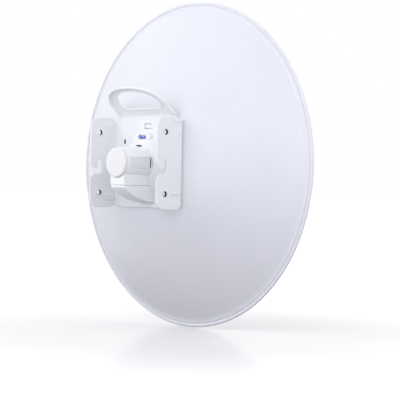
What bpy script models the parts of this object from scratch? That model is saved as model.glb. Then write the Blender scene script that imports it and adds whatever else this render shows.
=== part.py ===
# Wireless bridge dish antenna: a pressed reflector with a folded sheet bracket on its back,
# a radio housing with a clip-on port cover, and the feed in front of the bowl.
# Metres, +Z up. The back of the dish faces -Y and the beam leaves along +Y.
# The origin lies on the flat outer face of the right bracket flange, which a pole clamp takes.

import math

import bmesh
import bpy

# Driving dimensions. "Back" is the distance behind the plane of the dish's rim.
RIM_RADIUS = 0.210
DISH_SHEET = 0.0012
BOWL_DEPTH = 0.079
BOWL_FALL = 0.527            # bowl height falls by radius squared over this
RIM_BEAD_RADIUS = 0.002
LIP_INNER_RADIUS = 0.2045
BOSS_BACK = 0.0752           # flat top of the hub boss
BOSS_PAD = (0.050, 0.054)    # half width and half height of the flat top
BOSS_PAD_FALL = 0.036        # width of the slopes round it
HUB_HOLE_RADIUS = 0.0206
GAP = 0.0003

BRACKET_SHEET = 0.002
PLATE_BACK = BOSS_BACK + GAP + BRACKET_SHEET      # rear face of the base plate
PLATE_HALF_WIDTH = 0.0492
PLATE_BOTTOM = -0.056
NECK_TOP = 0.0565
FLANGE_FACE = 0.0628         # flat outer face, from the middle
FLANGE_EDGE_BACK = 0.1205
FLANGE_HALF_HEIGHT = 0.0572
FLANGE_CORNER_RADIUS = 0.013
BEND_INNER_RADIUS = 0.0022
BEND_HALF_HEIGHT = 0.054
BOLT_HOLE_RADIUS = 0.0040
BOLT_HOLE_BACK = 0.1063
BOLT_HOLE_HEIGHT = 0.0381
COLLAR_RADIUS = 0.0054       # drawn collar round each bolt hole, on the inner face
COLLAR_HEIGHT = 0.0025
DOME_BACK = 0.088            # pressed dome round the housing
DOME_FOOT_RADIUS = 0.044

HANDLE_LEAN = math.radians(48)
HANDLE_HALF_WIDTH = 0.0515
HANDLE_LENGTH = 0.050
HANDLE_LIP_DEPTH = 0.0055
OPENING_HALF_WIDTH = 0.0375
OPENING_START = 0.0103
OPENING_END = 0.0405

BARREL_RADIUS = 0.0192
BARREL_ROOT_RADIUS = 0.0202
BARREL_END_BACK = 0.1250
CAP_RING_END_BACK = 0.1275
CAP_END_BACK = 0.1325
CAP_RADIUS = 0.0183
PORT_HALF_WIDTH = 0.0129
PORT_BACK = 0.129
PARTING_HEIGHT = -0.0282
LATCH_HALF_HEIGHT = 0.0072
LATCH_FLOOR = 0.0168
CAP_RING_RADIUS = 0.0188

LEVEL_HALF_LENGTH = 0.0122
LEVEL_HALF_HEIGHT = 0.0030
LEVEL_HEIGHT = 0.0331
LEVEL_BACK = 0.0858

TUBE_ROOT_RADIUS = 0.0180
TUBE_TIP_RADIUS = 0.0150
SUB_REFLECTOR_RADIUS = 0.033
FEED_TIP_FRONT = 0.096       # in front of the rim plane

ORIGIN_BACK = 0.093          # where the origin lies on the flange

WHITE_PAINT = (0.80, 0.81, 0.83)
WHITE_PLASTIC = (0.84, 0.84, 0.86)
LEVEL_BLUE = (0.03, 0.10, 0.60)
BARE_ALUMINIUM = (0.75, 0.76, 0.78)


def clear_scene():
    for old in list(bpy.data.objects):
        bpy.data.objects.remove(old, do_unlink=True)


def make_collection(name):
    group = bpy.data.collections.new(name)
    bpy.context.scene.collection.children.link(group)
    return group


def make_material(name, colour, roughness, metallic=0.0):
    finish = bpy.data.materials.new(name)
    finish.use_nodes = True
    shader = finish.node_tree.nodes["Principled BSDF"]
    shader.inputs["Base Color"].default_value = (*colour, 1.0)
    shader.inputs["Roughness"].default_value = roughness
    shader.inputs["Metallic"].default_value = metallic
    finish.diffuse_color = (*colour, 1.0)
    return finish


clear_scene()
parts = make_collection("wireless_bridge_dish_antenna")
cutters = make_collection("cutters")

# The empty stands where the dish's axis meets the rim plane.
axis = bpy.data.objects.new("dish_axis", None)
axis.location = (-FLANGE_FACE, ORIGIN_BACK, 0.0)
parts.objects.link(axis)


def place(obj, group, location=(0, 0, 0), rotation=(0, 0, 0)):
    """Parents an object to the dish's axis and puts it in a collection."""
    for old in list(obj.users_collection):
        old.objects.unlink(obj)
    group.objects.link(obj)
    obj.parent = axis
    obj.location = location
    obj.rotation_euler = rotation
    return obj


def as_cutter(obj):
    obj.hide_render = True
    obj.display_type = "WIRE"
    return obj


def evaluated_mesh(obj, name):
    """The mesh of an object with its modifiers, with loose caps welded."""
    bpy.context.view_layer.update()
    graph = bpy.context.evaluated_depsgraph_get()
    mesh = bpy.data.meshes.new_from_object(obj.evaluated_get(graph))
    mesh.name = name
    work = bmesh.new()
    work.from_mesh(mesh)
    bmesh.ops.remove_doubles(work, verts=work.verts, dist=0.000002)
    bmesh.ops.recalc_face_normals(work, faces=work.faces)
    work.to_mesh(mesh)
    work.free()
    return mesh


def rounded(points, radii, steps=5):
    """An outline's corners turned into arcs; a radius of 0 keeps the corner sharp."""
    result = []
    count = len(points)
    for i, corner in enumerate(points):
        radius = radii[i]
        if radius == 0:
            result.append(corner)
            continue
        before = points[i - 1]
        after = points[(i + 1) % count]
        ax, ay = before[0] - corner[0], before[1] - corner[1]
        bx, by = after[0] - corner[0], after[1] - corner[1]
        a_len = math.hypot(ax, ay)
        b_len = math.hypot(bx, by)
        ax, ay, bx, by = ax / a_len, ay / a_len, bx / b_len, by / b_len
        half = math.acos(max(-1, min(1, ax * bx + ay * by))) / 2
        run = radius / math.tan(half)
        reach = radius / math.sin(half)
        mx, my = ax + bx, ay + by
        m_len = math.hypot(mx, my)
        cx, cy = corner[0] + mx / m_len * reach, corner[1] + my / m_len * reach
        start = math.atan2(corner[1] + ay * run - cy, corner[0] + ax * run - cx)
        stop = math.atan2(corner[1] + by * run - cy, corner[0] + bx * run - cx)
        turn = (stop - start + math.pi) % (2 * math.pi) - math.pi
        for k in range(steps + 1):
            angle = start + turn * k / steps
            result.append((cx + radius * math.cos(angle), cy + radius * math.sin(angle)))
    return result


def extruded(name, loops, thickness, location, rotation, group):
    """Flat outlines (holes are inner loops) given a thickness, centred on their plane."""
    curve = bpy.data.curves.new(name, "CURVE")
    curve.dimensions = "2D"
    curve.fill_mode = "BOTH"
    curve.extrude = thickness / 2
    for loop in loops:
        spline = curve.splines.new("POLY")
        spline.points.add(len(loop) - 1)
        for point, (x, y) in zip(spline.points, loop):
            point.co = (x, y, 0, 1)
        spline.use_cyclic_u = True
    flat = bpy.data.objects.new(name, curve)
    bpy.context.scene.collection.objects.link(flat)
    mesh = evaluated_mesh(flat, name)
    bpy.data.objects.remove(flat, do_unlink=True)
    return place(bpy.data.objects.new(name, mesh), group, location, rotation)


# How a flat outline is stood up:
UPRIGHT_FACING_BACK = (math.pi / 2, 0, 0)                  # (x, y) becomes (X, Z)
UPRIGHT_FACING_SIDE = (math.pi / 2, 0, math.pi / 2)        # (x, y) becomes (Y, Z)


def turned(name, profile, steps, group, keep_open=False):
    """A profile of (radius, back) pairs turned round the dish's axis."""
    mesh = bpy.data.meshes.new(name)
    edges = [(i, i + 1) for i in range(len(profile) - 1)]
    on_axis = profile[0][0] == 0 and profile[-1][0] == 0
    if not keep_open and not on_axis:
        edges.append((len(profile) - 1, 0))
    mesh.from_pydata([(radius, 0, back) for radius, back in profile], edges, [])
    obj = bpy.data.objects.new(name, mesh)
    screw = obj.modifiers.new("turn", "SCREW")
    screw.steps = steps
    screw.render_steps = steps
    screw.use_merge_vertices = True
    screw.merge_threshold = 0.00001
    screw.use_smooth_shade = True
    return place(obj, group, rotation=(math.pi / 2, 0, 0))


def box(name, low, high, group):
    """A box between two corners, in the frame of the dish's axis."""
    mesh = bpy.data.meshes.new(name)
    work = bmesh.new()
    bmesh.ops.create_cube(work, size=1.0)
    size = [high[i] - low[i] for i in range(3)]
    bmesh.ops.scale(work, vec=size, verts=work.verts)
    work.to_mesh(mesh)
    work.free()
    middle = [(low[i] + high[i]) / 2 for i in range(3)]
    return place(bpy.data.objects.new(name, mesh), group, middle)


def cylinder(name, radius, length, centre, direction, group, segments=32):
    """A cylinder along X or Y."""
    mesh = bpy.data.meshes.new(name)
    work = bmesh.new()
    bmesh.ops.create_cone(work, cap_ends=True, segments=segments, radius1=radius, radius2=radius,
                          depth=length)
    work.to_mesh(mesh)
    work.free()
    rotation = (0, math.pi / 2, 0) if direction == "X" else (math.pi / 2, 0, 0)
    return place(bpy.data.objects.new(name, mesh), group, centre, rotation)


def combine(target, other, operation):
    step = target.modifiers.new(other.name, "BOOLEAN")
    step.operation = operation
    step.object = other
    step.solver = "EXACT"
    as_cutter(other)


def bevel(obj, width, segments=2, angle=40):
    step = obj.modifiers.new("soft edges", "BEVEL")
    step.width = width
    step.segments = segments
    step.limit_method = "ANGLE"
    step.angle_limit = math.radians(angle)
    step.harden_normals = False


def smooth(obj, angle=35):
    obj.data.shade_smooth()
    obj.data.set_sharp_from_angle(angle=math.radians(angle))


def give(obj, finish):
    obj.data.materials.clear()
    obj.data.materials.append(finish)
    smooth(obj)
    return obj


painted_sheet = make_material("painted_sheet", WHITE_PAINT, 0.45)
painted_dish = make_material("painted_dish", WHITE_PAINT, 0.40)
housing_plastic = make_material("housing_plastic", WHITE_PLASTIC, 0.35)
cover_plastic = make_material("cover_plastic", WHITE_PLASTIC, 0.38)
vial_liquid = make_material("vial_liquid", LEVEL_BLUE, 0.10)
feed_plastic = make_material("feed_plastic", WHITE_PLASTIC, 0.35)
bare_metal = make_material("bare_metal", BARE_ALUMINIUM, 0.30, 1.0)


def bowl_back(radius):
    return BOWL_DEPTH - radius * radius / BOWL_FALL


def boss_rise(x, z):
    """1 on the boss's flat top, 0 on the plain bowl, with four slopes that meet at mitred corners."""
    across = (abs(x) - BOSS_PAD[0]) / BOSS_PAD_FALL
    along = (abs(z) - BOSS_PAD[1]) / BOSS_PAD_FALL
    fallen = min(1.0, max(0.0, across, along))
    return 1.0 - fallen * fallen * (3 - 2 * fallen)


def make_reflector():
    """Bowl, square hub boss, flat lip and rolled bead, pressed from one sheet."""
    profile = [(HUB_HOLE_RADIUS, BOSS_BACK)]
    for radius in (0.050, 0.057, 0.063, 0.069, 0.075, 0.082, 0.090, 0.098,
                   0.108, 0.125, 0.145, 0.165, 0.183, 0.196):
        profile.append((radius, bowl_back(radius)))
    profile += [(0.1995, 0.0021), (0.2020, 0.0007), (LIP_INNER_RADIUS, 0.0)]
    bead_centre = RIM_RADIUS - RIM_BEAD_RADIUS
    for degrees in (180, 135, 90, 45, 0):
        angle = math.radians(degrees)
        profile.append((bead_centre + RIM_BEAD_RADIUS * math.cos(angle), RIM_BEAD_RADIUS * math.sin(angle)))
    profile.append((RIM_RADIUS, -0.0022))
    bare = turned("reflector_turned", profile, 84, cutters, keep_open=True)
    mesh = evaluated_mesh(bare, "reflector_dish")
    bpy.data.objects.remove(bare, do_unlink=True)
    for vert in mesh.vertices:
        vert.co.z += (BOSS_BACK - vert.co.z) * boss_rise(vert.co.x, vert.co.y)
    dish = place(bpy.data.objects.new("reflector_dish", mesh), parts, rotation=(math.pi / 2, 0, 0))
    wall = dish.modifiers.new("sheet", "SOLIDIFY")
    wall.thickness = DISH_SHEET
    wall.offset = -1.0
    wall.use_even_offset = True
    give(dish, painted_dish)


def make_base_plate():
    """Flat plate with a pressed dome round the housing, lock tab slit and hook slots."""
    middle = -(PLATE_BACK - BRACKET_SHEET / 2)
    outline = [(-PLATE_HALF_WIDTH, PLATE_BOTTOM), (PLATE_HALF_WIDTH, PLATE_BOTTOM),
               (PLATE_HALF_WIDTH, NECK_TOP), (-PLATE_HALF_WIDTH, NECK_TOP)]
    plate = extruded("bracket_base", [outline], BRACKET_SHEET, (0, middle, 0), UPRIGHT_FACING_BACK, parts)
    well = cylinder("dome_well", DOME_FOOT_RADIUS, 0.02, (0, -PLATE_BACK, 0), "Y", cutters, 64)
    combine(plate, well, "DIFFERENCE")
    skin = 0.0001                # the dome's rim sits inside the plate's thickness
    back = PLATE_BACK - skin
    front = PLATE_BACK - BRACKET_SHEET + skin
    hole = BARREL_ROOT_RADIUS + GAP
    dome = turned("dome_ring", [
        (hole, DOME_BACK), (0.0240, DOME_BACK), (0.0275, DOME_BACK - 0.0014), (0.0395, 0.0790),
        (0.0430, back), (0.0460, back), (0.0460, front), (0.0425, front), (0.0388, 0.0772),
        (0.0265, DOME_BACK - 0.0034), (0.0235, DOME_BACK - 0.002), (hole, DOME_BACK - 0.002)], 64, cutters)
    combine(plate, dome, "UNION")

    tab_left, tab_right = -0.0081, 0.0056
    tab_low, tab_high = 0.0430, 0.0502
    slit = 0.0015
    slit_outline = [(tab_right, tab_high), (tab_left, tab_high), (tab_left, tab_low), (tab_right, tab_low),
                    (tab_right, tab_low + slit), (tab_left + slit, tab_low + slit),
                    (tab_left + slit, tab_high - slit), (tab_right, tab_high - slit)]
    cut = extruded("lock_tab_slit", [slit_outline], 0.01, (0, -PLATE_BACK, 0), UPRIGHT_FACING_BACK, cutters)
    combine(plate, cut, "DIFFERENCE")
    for side in (-1, 1):
        slot_x = side * 0.0445
        low = (slot_x - 0.0013, -0.085, 0.0241)
        high = (slot_x + 0.0013, -0.070, 0.0303)
        cut = box(f"hook_slot_{side}", low, high, cutters)
        combine(plate, cut, "DIFFERENCE")
        low = (min(side * 0.0170, side * 0.0222), -0.095, -LATCH_HALF_HEIGHT)
        high = (max(side * 0.0170, side * 0.0222), -0.0855, LATCH_HALF_HEIGHT)
        combine(plate, box(f"latch_notch_{side}", low, high, cutters), "DIFFERENCE")
    notch = box("top_notch", (-0.0105, -0.095, 0.016), (-0.0020, -0.0855, 0.0226), cutters)
    combine(plate, notch, "DIFFERENCE")
    window = extruded("level_window", [capsule(LEVEL_HALF_LENGTH + GAP, LEVEL_HALF_HEIGHT + GAP)], 0.03,
                      (0, -0.080, LEVEL_HEIGHT), UPRIGHT_FACING_BACK, cutters)
    combine(plate, window, "DIFFERENCE")
    give(plate, painted_sheet)


def capsule(half_length, half_height, steps=6):
    """A slot outline with round ends."""
    points = []
    for side, start in ((1, -90), (-1, 90)):
        for k in range(steps + 1):
            angle = math.radians(start + 180 * k / steps)
            reach = half_length - half_height
            points.append((side * reach + half_height * math.cos(angle), half_height * math.sin(angle)))
    return points


def make_level():
    """Spirit level: a white carrier in the plate's window, with a blue vial in its pocket."""
    front = 0.0762
    depth = LEVEL_BACK - front
    body = extruded("level_carrier", [capsule(LEVEL_HALF_LENGTH, LEVEL_HALF_HEIGHT)], depth,
                    (0, -(front + depth / 2), LEVEL_HEIGHT), UPRIGHT_FACING_BACK, parts)
    pocket_left, pocket_right = -0.0110, 0.0040
    pocket_half = 0.0021
    pocket = box("vial_pocket", (pocket_left, -0.090, LEVEL_HEIGHT - pocket_half),
                 (pocket_right, -0.0815, LEVEL_HEIGHT + pocket_half), cutters)
    combine(body, pocket, "DIFFERENCE")
    give(body, housing_plastic)
    vial = box("level_vial", (pocket_left + GAP, -(LEVEL_BACK - 0.0004), LEVEL_HEIGHT - pocket_half + GAP),
               (pocket_right - GAP, -0.0818, LEVEL_HEIGHT + pocket_half - GAP), parts)
    bevel(vial, 0.0006, 2)
    give(vial, vial_liquid)


def hook_slot_outline():
    """The J-shaped bolt slot, as (back, height): a chamfered mouth, then a leg that hooks up."""
    mouth = FLANGE_EDGE_BACK + 0.002
    points = [(mouth, 0.0015), (0.1144, -0.0066), (0.1089, -0.0066), (0.1089, 0.0040), (0.1022, 0.0040),
              (0.1022, -0.0140), (0.1144, -0.0140), (mouth, -0.0207)]
    radii = [0, 0.001, 0.0005, 0.0033, 0.0033, 0.005, 0.001, 0]
    return rounded(points, radii)


def make_flange(side):
    """One folded side of the bracket, with its bend, two collared bolt holes and the J slot."""
    name = "bracket_flange_right" if side > 0 else "bracket_flange_left"
    face = FLANGE_FACE
    inner = face - BRACKET_SHEET
    front = PLATE_BACK - BRACKET_SHEET
    foot = PLATE_HALF_WIDTH + GAP
    outer_radius = BEND_INNER_RADIUS + BRACKET_SHEET
    section = [(foot, front), (face, front), (face, FLANGE_EDGE_BACK), (inner, FLANGE_EDGE_BACK),
               (inner, PLATE_BACK), (foot, PLATE_BACK)]
    section = rounded(section, [0, outer_radius, 0, 0, BEND_INNER_RADIUS, 0], 6)
    section = [(side * x, -back) for x, back in section]
    flange = extruded(name, [section], 2 * FLANGE_HALF_HEIGHT, (0, 0, 0), (0, 0, 0), parts)

    for up in (-1, 1):
        tag = f"{name}_{up}"
        edge = FLANGE_EDGE_BACK + 0.001
        top = FLANGE_HALF_HEIGHT
        corner = [(edge, up * (top + 0.001)), (edge, up * (top - FLANGE_CORNER_RADIUS))]
        for k in range(7):
            angle = math.radians(90 * k / 6)
            corner.append((FLANGE_EDGE_BACK - FLANGE_CORNER_RADIUS * (1 - math.cos(angle)),
                           up * (top - FLANGE_CORNER_RADIUS * (1 - math.sin(angle)))))
        corner.append((FLANGE_EDGE_BACK - FLANGE_CORNER_RADIUS, up * (top + 0.001)))
        corner = [(-back, height) for back, height in corner]
        cut = extruded(f"corner_{tag}", [corner], 0.01, (side * face, 0, 0), UPRIGHT_FACING_SIDE, cutters)
        combine(flange, cut, "DIFFERENCE")

        relief_low = min(up * BEND_HALF_HEIGHT, up * 0.07)
        relief_high = max(up * BEND_HALF_HEIGHT, up * 0.07)
        left = min(side * 0.040, side * 0.070)
        right = max(side * 0.040, side * 0.070)
        cut = box(f"relief_{tag}", (left, -0.0825, relief_low), (right, -0.060, relief_high), cutters)
        combine(flange, cut, "DIFFERENCE")

        overlap = 0.0002
        middle = inner - (COLLAR_HEIGHT - overlap) / 2
        centre = (side * middle, -BOLT_HOLE_BACK, up * BOLT_HOLE_HEIGHT)
        collar = cylinder(f"collar_{tag}", COLLAR_RADIUS, COLLAR_HEIGHT + overlap, centre, "X", cutters, 32)
        combine(flange, collar, "UNION")
        hole = cylinder(f"bolt_hole_{tag}", BOLT_HOLE_RADIUS, 0.02, centre, "X", cutters, 32)
        combine(flange, hole, "DIFFERENCE")

    slot = [(-back, height) for back, height in hook_slot_outline()]
    cut = extruded(f"hook_slot_{name}", [slot], 0.01, (side * face, 0, 0), UPRIGHT_FACING_SIDE, cutters)
    combine(flange, cut, "DIFFERENCE")
    give(flange, painted_sheet)


def arch(half_width, base, top, power=2.3, steps=20):
    """The upper half of a squared ellipse, from its right end to its left end."""
    points = []
    for k in range(steps + 1):
        angle = math.pi * k / steps
        c, s = math.cos(angle), math.sin(angle)
        x = half_width * math.copysign(abs(c) ** (2 / power), c)
        points.append((x, base + (top - base) * abs(s) ** (2 / power)))
    return points


def make_handle():
    """Carry handle: a D-shaped loop that leans back, with its outer edge folded into a lip."""
    lean = HANDLE_LEAN
    neck_end = NECK_TOP + GAP
    bend_radius = 0.006
    # The bend runs tangent from the upright plate to the leaning loop, along the middle of the sheet.
    centre_back = PLATE_BACK - BRACKET_SHEET / 2 + bend_radius
    bend_start = neck_end + 0.0012
    section = []
    for half in (-BRACKET_SHEET / 2, BRACKET_SHEET / 2):
        line = [(PLATE_BACK - BRACKET_SHEET / 2 + half, neck_end)]
        for k in range(6):
            angle = lean * k / 5
            radius = bend_radius - half
            line.append((centre_back - radius * math.cos(angle), bend_start + radius * math.sin(angle)))
        end_back, end_height = line[-1]
        line.append((end_back + 0.003 * math.sin(lean), end_height + 0.003 * math.cos(lean)))
        section += line if half < 0 else line[::-1]
    section = [(-back, height) for back, height in section]
    neck_half = HANDLE_HALF_WIDTH - 0.002
    handle = extruded("carry_handle", [section], 2 * neck_half, (0, 0, 0), UPRIGHT_FACING_SIDE, parts)

    start_back = centre_back - bend_radius * math.cos(lean)
    start_height = bend_start + bend_radius * math.sin(lean)
    tilt = (math.pi / 2 + lean, 0, 0)
    outer = [(-neck_half, 0.001), (neck_half, 0.001), (HANDLE_HALF_WIDTH, 0.006)]
    outer += arch(HANDLE_HALF_WIDTH, 0.014, HANDLE_LENGTH)
    outer.append((-HANDLE_HALF_WIDTH, 0.006))
    opening = [(-0.0330, OPENING_START), (0.0330, OPENING_START), (OPENING_HALF_WIDTH, 0.0170)]
    opening += arch(OPENING_HALF_WIDTH, 0.0185, OPENING_END)
    opening.append((-OPENING_HALF_WIDTH, 0.0170))
    thickness = BRACKET_SHEET - 0.0001
    web = extruded("handle_web", [outer, opening], thickness, (0, -start_back, start_height), tilt, cutters)
    combine(handle, web, "UNION")

    inset = BRACKET_SHEET
    lip_in = [(HANDLE_HALF_WIDTH - inset, 0.0065)]
    lip_in += arch(HANDLE_HALF_WIDTH - inset, 0.014, HANDLE_LENGTH - inset)
    lip_in.append((-(HANDLE_HALF_WIDTH - inset), 0.0065))
    lip_out = [(HANDLE_HALF_WIDTH, 0.0065)] + arch(HANDLE_HALF_WIDTH, 0.014, HANDLE_LENGTH)
    lip_out.append((-HANDLE_HALF_WIDTH, 0.0065))
    ribbon = [(x * 0.9995, s - 0.00001) for x, s in lip_out] + lip_in[::-1]
    shift = HANDLE_LIP_DEPTH / 2 - BRACKET_SHEET / 2
    lip_back = start_back + shift * math.cos(lean)
    lip_height = start_height - shift * math.sin(lean)
    lip = extruded("handle_lip", [ribbon], HANDLE_LIP_DEPTH, (0, -lip_back, lip_height), tilt, cutters)
    combine(handle, lip, "UNION")
    give(handle, painted_sheet)


def make_radio_housing():
    """Round barrel on the dish's axis, with the square port body moulded under it."""
    front = BOSS_BACK - DISH_SHEET - GAP
    barrel = turned("radio_housing", [
        (0, BARREL_END_BACK), (BARREL_RADIUS - 0.001, BARREL_END_BACK),
        (BARREL_RADIUS, BARREL_END_BACK - 0.001), (BARREL_ROOT_RADIUS, DOME_BACK),
        (BARREL_ROOT_RADIUS, front + 0.001), (BARREL_ROOT_RADIUS - 0.001, front), (0, front)], 64, parts)
    # Side view of the port body, as (back, height). Its front edge follows the plate's dome.
    body = [(DOME_BACK + 0.0006, -0.010), (PORT_BACK, -0.010), (PORT_BACK, PARTING_HEIGHT),
            (0.0868, PARTING_HEIGHT), (DOME_BACK + 0.0006, -0.0245)]
    body = [(-back, height) for back, height in body]
    port = extruded("port_body", [body], 2 * PORT_HALF_WIDTH, (0, 0, 0), UPRIGHT_FACING_SIDE, cutters)
    room_middle = -(BARREL_END_BACK + 0.005)
    room = cylinder("cap_room", CAP_RING_RADIUS + GAP, 0.01, (0, room_middle, 0), "Y", cutters, 64)
    combine(port, room, "DIFFERENCE")
    combine(barrel, port, "UNION")
    for side in (-1, 1):
        low = (min(side * LATCH_FLOOR, side * 0.03), -0.1242, -LATCH_HALF_HEIGHT)
        high = (max(side * LATCH_FLOOR, side * 0.03), -0.0893, LATCH_HALF_HEIGHT)
        combine(barrel, box(f"latch_pocket_{side}", low, high, cutters), "DIFFERENCE")
    give(barrel, housing_plastic)


def make_barrel_end():
    """Ring and plain round cap that close the barrel."""
    ring = turned("cap_ring", [
        (0.0120, CAP_RING_END_BACK), (CAP_RING_RADIUS - 0.0004, CAP_RING_END_BACK),
        (CAP_RING_RADIUS, CAP_RING_END_BACK - 0.0004), (CAP_RING_RADIUS, BARREL_END_BACK + GAP),
        (0.0120, BARREL_END_BACK + GAP)], 64, parts)
    give(ring, housing_plastic)
    edge = 0.0012
    start = CAP_RING_END_BACK + GAP
    cap = turned("barrel_cap", [
        (0, CAP_END_BACK), (CAP_RADIUS - edge, CAP_END_BACK), (CAP_RADIUS - 0.0004, CAP_END_BACK - 0.0004),
        (CAP_RADIUS, CAP_END_BACK - edge), (CAP_RADIUS, start), (0.0117, start),
        (0.0117, BARREL_END_BACK + GAP), (0, BARREL_END_BACK + GAP)], 64, parts)
    give(cap, cover_plastic)


def make_latch_arm(side):
    """Flat side arm that locks the housing to the bracket."""
    name = "latch_arm_right" if side > 0 else "latch_arm_left"
    inner = LATCH_FLOOR + GAP
    outer = 0.0183
    low = (min(side * inner, side * outer), -0.1242 + GAP, -LATCH_HALF_HEIGHT + GAP)
    high = (max(side * inner, side * outer), -0.0904, LATCH_HALF_HEIGHT - GAP)
    arm = box(name, low, high, parts)
    bevel(arm, 0.0003, 1)
    give(arm, housing_plastic)


def make_port_cover():
    """Clip-on cover over the cable port, with a curved underside."""
    top = PARTING_HEIGHT - GAP
    side_view = [(PORT_BACK, top), (PORT_BACK, -0.0300)]
    # An arc from the rear chin to the foot on the plate.
    chin = (0.1272, -0.0318)
    foot = (PLATE_BACK + GAP, -0.0497)
    bulge = 0.0043
    for k in range(11):
        t = k / 10
        back = chin[0] + (foot[0] - chin[0]) * t
        height = chin[1] + (foot[1] - chin[1]) * t
        side_view.append((back, height - bulge * 4 * t * (1 - t) * (1 - 0.15 * t)))
    side_view += [(PLATE_BACK + GAP, -0.0434), (0.0795, -0.0395), (0.0866, top)]
    side_view = [(-back, height) for back, height in side_view]
    cover = extruded("port_cover", [side_view], 2 * PORT_HALF_WIDTH, (0, 0, 0), UPRIGHT_FACING_SIDE, parts)
    for side in (-1, 1):
        low = (min(side * 0.0115, side * 0.0140), -0.1002, -0.0350)
        high = (max(side * 0.0115, side * 0.0140), -0.0880, -0.0316)
        combine(cover, box(f"tab_seat_{side}", low, high, cutters), "DIFFERENCE")
    give(cover, cover_plastic)


def make_release_tab(side):
    """Small finger tab set in the cover's cheek."""
    name = "release_tab_right" if side > 0 else "release_tab_left"
    low = (min(side * 0.0118, side * 0.0134), -0.1002 + GAP, -0.0350 + GAP)
    high = (max(side * 0.0118, side * 0.0134), -0.0880 - GAP, -0.0316 - GAP)
    tab = box(name, low, high, parts)
    bevel(tab, 0.0003, 1)
    give(tab, cover_plastic)


def make_feed():
    """Collar in the bowl, feed tube, sub-reflector and its round cover, on the dish's axis."""
    seat = BOSS_BACK - DISH_SHEET - GAP          # front face of the hub sheet
    collar_front = seat - 0.004
    collar = turned("feed_collar", [
        (TUBE_ROOT_RADIUS + GAP, seat - 0.0006), (0.0300, seat - 0.0006), (0.0315, seat - 0.0022),
        (0.0300, collar_front), (TUBE_ROOT_RADIUS + GAP, collar_front)], 48, parts)
    give(collar, feed_plastic)
    tube_start = seat - 0.0006
    tube = turned("feed_tube", [
        (0, tube_start), (TUBE_ROOT_RADIUS, tube_start), (TUBE_ROOT_RADIUS, collar_front - 0.004),
        (TUBE_TIP_RADIUS, 0.0), (TUBE_TIP_RADIUS, -0.056), (0, -0.056)], 48, parts)
    give(tube, feed_plastic)
    plate = turned("sub_reflector", [
        (0, -0.0563), (0.0100, -0.0563), (0.0120, -0.0640), (0.0200, -0.0700),
        (SUB_REFLECTOR_RADIUS, -0.0745), (SUB_REFLECTOR_RADIUS, -0.0765), (0, -0.0765)], 48, parts)
    give(plate, bare_metal)
    cover = turned("feed_cap", [
        (0, -0.0768), (SUB_REFLECTOR_RADIUS + GAP, -0.0768), (SUB_REFLECTOR_RADIUS + GAP, -0.0720),
        (SUB_REFLECTOR_RADIUS + 0.002, -0.0720), (SUB_REFLECTOR_RADIUS + 0.002, -0.0820),
        (SUB_REFLECTOR_RADIUS - 0.004, -0.0905), (0.0200, -0.0945), (0, -FEED_TIP_FRONT)], 48, parts)
    give(cover, feed_plastic)


make_reflector()
make_base_plate()
make_level()
for flange_side in (-1, 1):
    make_flange(flange_side)
    make_latch_arm(flange_side)
    make_release_tab(flange_side)
make_handle()
make_radio_housing()
make_barrel_end()
make_port_cover()
make_feed()
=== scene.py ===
# Wireless bridge dish antenna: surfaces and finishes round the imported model.
# Sizes are in millimetres about the dish's axis: x across, back behind the rim plane, z up.

import math
import bpy
import numpy as np
from mathutils import Matrix, Vector


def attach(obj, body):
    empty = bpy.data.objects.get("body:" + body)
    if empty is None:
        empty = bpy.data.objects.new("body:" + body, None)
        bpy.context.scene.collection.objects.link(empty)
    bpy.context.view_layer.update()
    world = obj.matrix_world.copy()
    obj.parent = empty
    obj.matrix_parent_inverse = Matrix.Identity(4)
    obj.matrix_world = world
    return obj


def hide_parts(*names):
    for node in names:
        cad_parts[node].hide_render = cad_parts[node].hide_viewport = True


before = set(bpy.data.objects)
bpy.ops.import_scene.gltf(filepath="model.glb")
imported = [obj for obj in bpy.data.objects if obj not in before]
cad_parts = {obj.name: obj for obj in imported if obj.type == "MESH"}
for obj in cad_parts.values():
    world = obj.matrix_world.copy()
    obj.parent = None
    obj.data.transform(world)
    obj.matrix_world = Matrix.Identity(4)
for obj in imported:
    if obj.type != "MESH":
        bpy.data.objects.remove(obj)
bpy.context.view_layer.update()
print("stage 1: frame loaded")

mm = 0.001
axisX = -62.8                     # the dish's axis, from the outer face of the right flange
rimY = 93.0                       # the plane of the rim
probe = 0.02                      # half the step over which an outline's slope is measured
sharpEdge = math.radians(40)      # edges past this angle stay sharp
quarterTurn = math.pi / 2


# x stays, back turns round to -y, z stays; then millimetres to metres
def toFrame(x, back, z):
    x, back, z = np.broadcast_arrays(np.asarray(x, float), back, z)
    return np.stack([(axisX + x) * mm, (rimY - back) * mm, z * mm], axis=-1)


# rises from 0 to 1 as 3t squared less 2t cubed
def easeIn(t):
    t = np.clip(t, 0.0, 1.0)
    return t * t * (3 - 2 * t)


# the smaller of two values, rounded where they meet over a width k
def softMin(a, b, k):
    h = np.clip(0.5 + 0.5 * (b - a) / k, 0.0, 1.0)
    return b + (a - b) * h - k * h * (1 - h)


# the larger of two values, rounded in the same way
def softMax(a, b, k):
    return -softMin(-a, -b, k)


# whether points lie in a rectangle given by its centre and half its size
def within(x, z, centre, half):
    return (np.abs(x - centre[0]) < half[0]) & (np.abs(z - centre[1]) < half[1])


# quads between neighbouring rows and columns of a grid of points
def gridFaces(rows, cols, closeRows=False, closeCols=False):
    i = np.arange(rows if closeRows else rows - 1)
    j = np.arange(cols if closeCols else cols - 1)
    i, j = (a.ravel() for a in np.meshgrid(i, j, indexing="ij"))
    iNext, jNext = (i + 1) % rows, (j + 1) % cols
    return np.stack([i * cols + j, iNext * cols + j, iNext * cols + jNext, i * cols + jNext], axis=1)


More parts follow.
